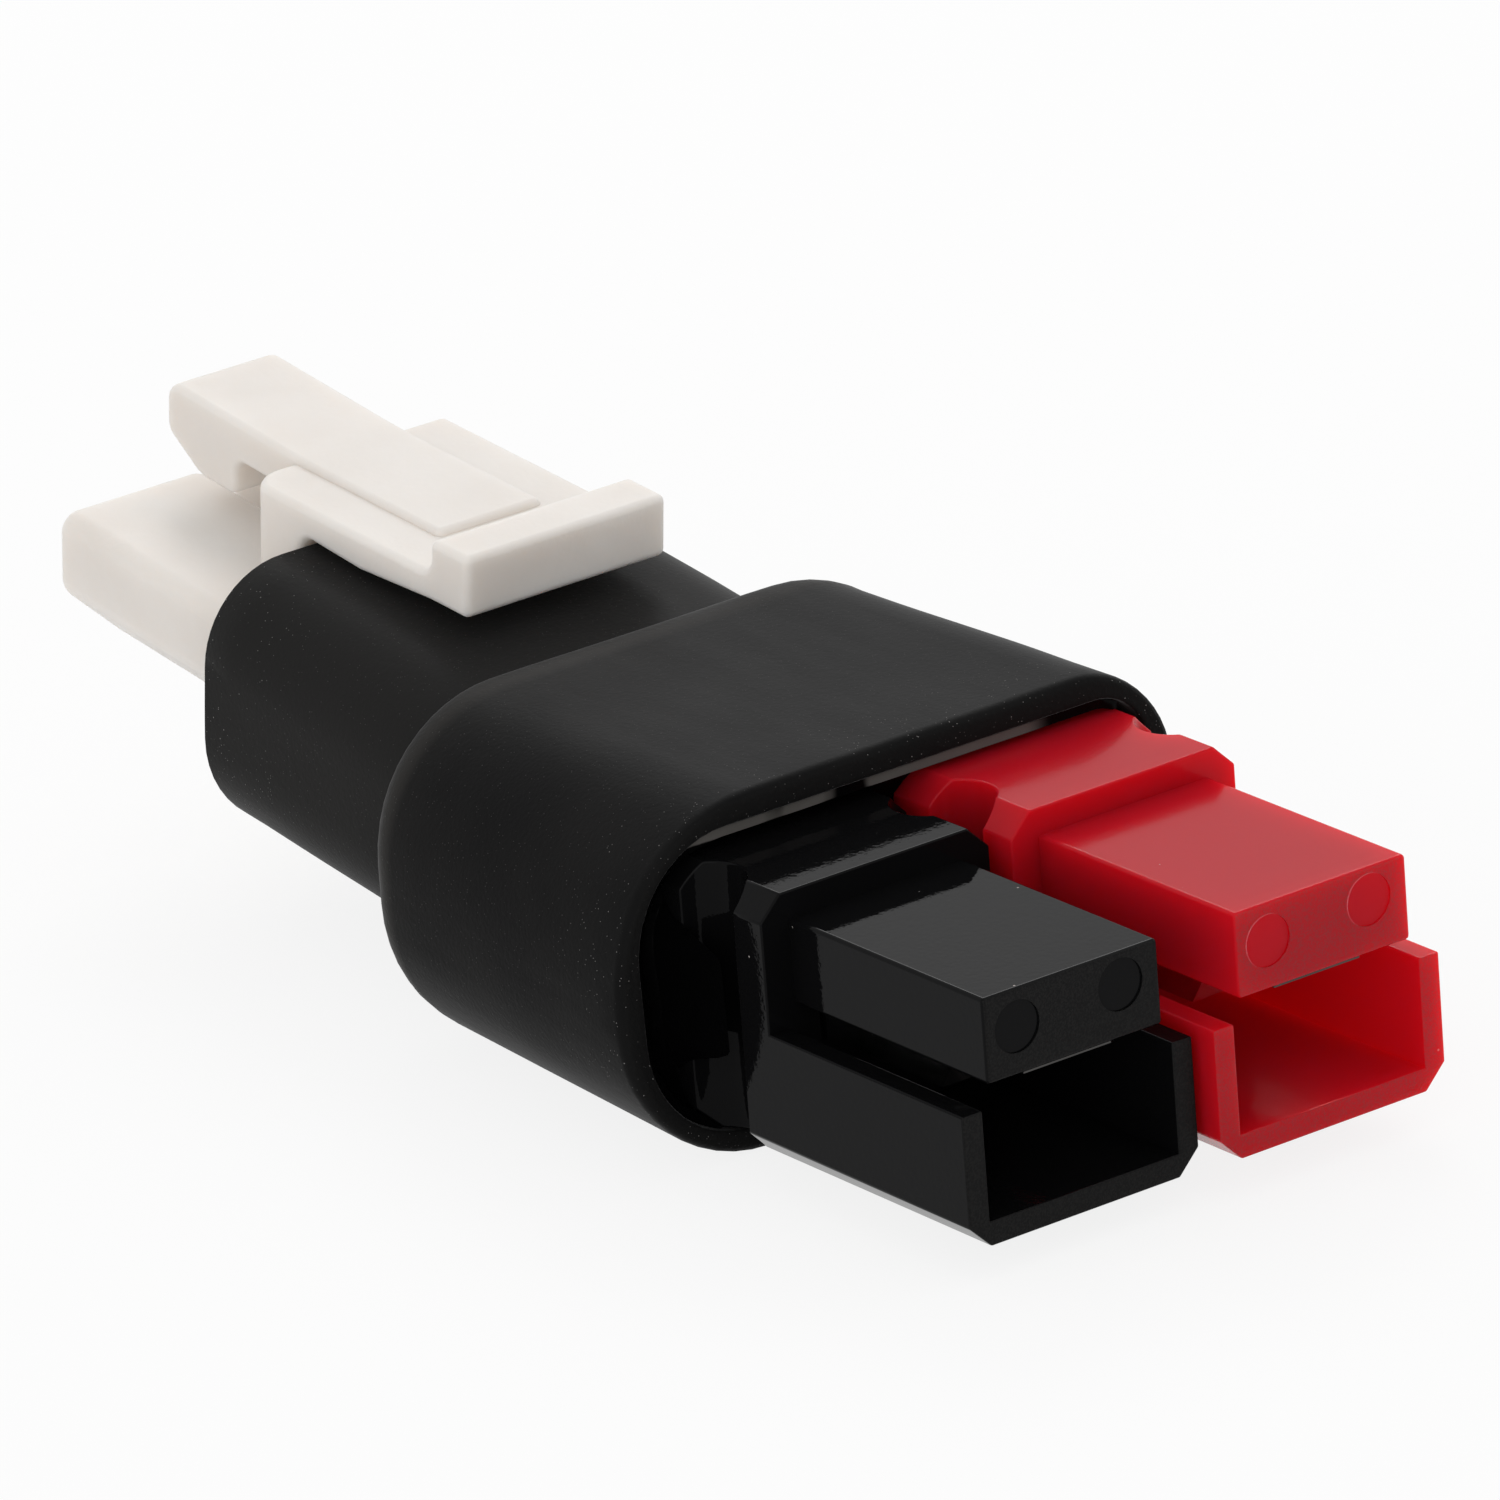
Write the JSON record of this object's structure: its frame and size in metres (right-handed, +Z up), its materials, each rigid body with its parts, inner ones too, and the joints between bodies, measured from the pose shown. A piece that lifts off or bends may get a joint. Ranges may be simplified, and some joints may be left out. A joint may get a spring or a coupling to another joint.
{
  "type": "power adapter",
  "caption": "Rigid in-line power adapter: genderless flat-contact power housings joined by a stepped shrink tube to a keyed battery plug with a latch lever.",
  "frame": {"origin": "middle of the part's box, at the height of the shrink tube's flat base", "axes": "+X out of the power housings along their contacts, +Y from the negative side to the positive side, +Z up through the latch lever"},
  "size_m": [0.0468, 0.0196, 0.0133],
  "materials": {
    "black_polycarbonate": "glossy black moulded plastic with a finely grained tongue front",
    "red_polycarbonate": "glossy red moulded plastic with a finely grained tongue front",
    "silver_plate": "silver-plated copper alloy, lightly brushed",
    "spring_steel": "dark rolled spring steel",
    "copper_strand": "bare stranded copper",
    "black_insulation": "soft black silicone insulation",
    "red_insulation": "soft red silicone insulation",
    "white_nylon": "natural white nylon, slightly see-through, satin",
    "tinned_brass": "tinned brass",
    "black_shrink": "matt black shrunk tube with a soft sheen and dust",
    "hot_melt": "glossy black hot-melt lining"
  },
  "bodies": {
    "root": {"negative_housing": "black_polycarbonate", "positive_housing": "red_polycarbonate", "negative_contact": "silver_plate", "positive_contact": "silver_plate", "negative_spring": "spring_steel", "positive_spring": "spring_steel", "negative_conductor": "copper_strand", "positive_conductor": "copper_strand", "negative_insulation": "black_insulation", "positive_insulation": "red_insulation", "plug_housing": "white_nylon", "negative_socket": "tinned_brass", "positive_socket": "tinned_brass", "shrink_tube": "black_shrink", "adhesive": "hot_melt"}
  },
  "joints": []
}
